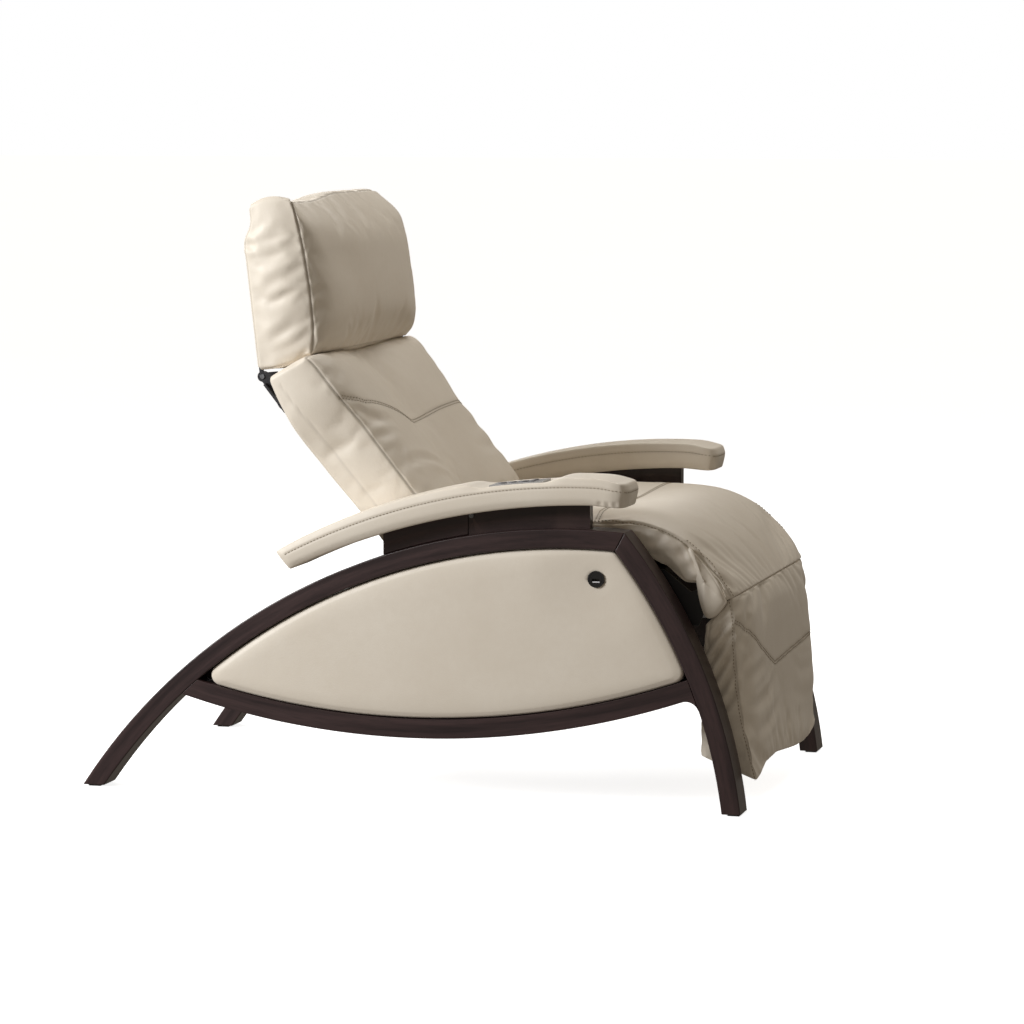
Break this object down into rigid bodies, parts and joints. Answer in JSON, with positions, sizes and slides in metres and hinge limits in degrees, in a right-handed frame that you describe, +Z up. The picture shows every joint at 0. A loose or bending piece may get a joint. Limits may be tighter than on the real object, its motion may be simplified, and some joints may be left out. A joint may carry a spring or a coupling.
{
  "type": "massage chair",
  "caption": "Power recliner massage chair with arched wooden side frames, beige leather cushions, a lifting legrest, a tilting headrest and a keypad in one arm.",
  "frame": {"origin": "on the floor under the middle of the chair's bounding box", "axes": "+X the way the sitter faces, +Y to the sitter's left, +Z up"},
  "size_m": [1.1637, 0.787, 0.9999],
  "materials": {
    "wood": "satin dark stain",
    "leather": "soft grained beige",
    "roller": "matt",
    "steel": "satin black powder coat",
    "bright": "zinc plated",
    "ply": "unfinished plywood",
    "black_plastic": "matt black",
    "gloss_black": "glossy black",
    "silver_plastic": "silver painted",
    "white_plastic": "gloss",
    "glide": "nylon"
  },
  "bodies": {
    "base": {"arch_rail_right": "wood", "arch_rail_left": "wood", "front_leg_right": "wood", "front_leg_left": "wood", "lower_rail_right": "wood", "lower_rail_left": "wood", "side_panel_boards": "ply", "side_panel_pad_right": "leather", "side_panel_pad_left": "leather", "arm_block_front_right": "wood", "arm_block_front_left": "wood", "arm_block_rear_right": "wood", "arm_block_rear_left": "wood", "arm_pad_right": "leather", "arm_pad_left": "leather", "arm_bolts": "bright", "foot_glides": "glide", "rear_stretcher": "steel", "seat_side_plates": "steel", "plate_spacers": "bright", "seat_cross_rails": "steel", "seat_board": "ply", "seat_cushion": "leather", "seat_gussets": "leather", "back_hinge_pins": "bright", "legrest_hinge_pins": "bright", "control_box": "black_plastic", "power_inlet": "black_plastic", "charging_socket": "gloss_black", "socket_tongue": "white_plastic", "keypad_bezel": "silver_plastic", "recline_actuator": "black_plastic", "legrest_actuator": "black_plastic"},
    "back": {"back_frame": "steel", "back_cushion": "leather", "back_side_pads": "leather", "back_rear_cover": "leather", "massage_rails": "bright", "screw_motor": "black_plastic", "headrest_brackets": "steel"},
    "headrest": {"headrest_hinge_pins": "bright", "headrest_arms": "steel", "headrest_board": "ply", "headrest_pillow": "leather"},
    "legrest": {"legrest_frame": "steel", "legrest_pad": "leather"},
    "recline_rod": {"recline_rod": "bright"},
    "legrest_rod": {"legrest_rod": "bright"},
    "massage_carriage": {"massage_carriage": "steel", "kneading_motor": "black_plastic"},
    "kneading_axle": {"kneading_axle": "bright", "kneading_rollers": "roller"},
    "lead_screw": {"lead_screw": "bright"},
    "rocker_switch": {"rocker_switch": "black_plastic"},
    "button_recline": {"button_recline": "silver_plastic"},
    "button_raise": {"button_raise": "silver_plastic"},
    "button_power": {"button_power": "silver_plastic"},
    "button_massage": {"button_massage": "silver_plastic"},
    "button_heat": {"button_heat": "silver_plastic"}
  },
  "joints": [
    {"name": "back_recline", "type": "hinge", "parent": "base", "child": "back", "pos_m": [0, 0, 0.42], "axis": [0, -1, 0], "range_deg": [0, 32]},
    {"name": "legrest_lift", "type": "hinge", "parent": "base", "child": "legrest", "pos_m": [0.505, 0, 0.352], "axis": [0, -1, 0], "range_deg": [0, 64]},
    {"name": "headrest_tilt", "type": "hinge", "parent": "back", "child": "headrest", "pos_m": [-0.29, 0, 0.702], "axis": [0, -1, 0], "range_deg": [0, 30]},
    {"name": "recline_rod_slide", "type": "slide", "parent": "base", "child": "recline_rod", "axis": [1, 0, 0], "range_m": [0, 0.054]},
    {"name": "legrest_rod_slide", "type": "slide", "parent": "base", "child": "legrest_rod", "axis": [1, 0, 0], "range_m": [0, 0.064]},
    {"name": "massage_travel", "type": "slide", "parent": "back", "child": "massage_carriage", "axis": [-0.6225, 0, 0.7826], "range_m": [-0.02, 0.14]},
    {"name": "kneading", "type": "hinge", "parent": "massage_carriage", "child": "kneading_axle", "pos_m": [-0.09296, 0, 0.54578], "axis": [0, 1, 0], "continuous": true},
    {"name": "lead_screw_turn", "type": "hinge", "parent": "back", "child": "lead_screw", "pos_m": [-0.11404, 0, 0.54818], "axis": [-0.6225, 0, 0.7826], "range_deg": [-361, 2521]},
    {"name": "power_rocker", "type": "hinge", "parent": "base", "child": "rocker_switch", "pos_m": [-0.28, 0.041, 0.278], "axis": [0, 1, 0], "range_deg": [0, 14]},
    {"name": "button_recline_press", "type": "slide", "parent": "base", "child": "button_recline", "axis": [0.1034, 0, -0.9946], "range_m": [0, 0.0015], "stiffness_N_per_m": 400, "springref_m": -0.001},
    {"name": "button_raise_press", "type": "slide", "parent": "base", "child": "button_raise", "axis": [0.1034, 0, -0.9946], "range_m": [0, 0.0015], "stiffness_N_per_m": 400, "springref_m": -0.001},
    {"name": "button_power_press", "type": "slide", "parent": "base", "child": "button_power", "axis": [0.1034, 0, -0.9946], "range_m": [0, 0.0015], "stiffness_N_per_m": 400, "springref_m": -0.001},
    {"name": "button_massage_press", "type": "slide", "parent": "base", "child": "button_massage", "axis": [0.1034, 0, -0.9946], "range_m": [0, 0.0015], "stiffness_N_per_m": 400, "springref_m": -0.001},
    {"name": "button_heat_press", "type": "slide", "parent": "base", "child": "button_heat", "axis": [0.1034, 0, -0.9946], "range_m": [0, 0.0015], "stiffness_N_per_m": 400, "springref_m": -0.001}
  ],
  "couplings": [
    {"joint": "legrest_lift", "follows": "back_recline", "ratio": 2},
    {"joint": "recline_rod_slide", "follows": "back_recline", "m_per_rad": 0.095744},
    {"joint": "legrest_rod_slide", "follows": "back_recline", "m_per_rad": 0.11386},
    {"joint": "lead_screw_turn", "follows": "massage_travel", "rad_per_m": 314.16}
  ]
}
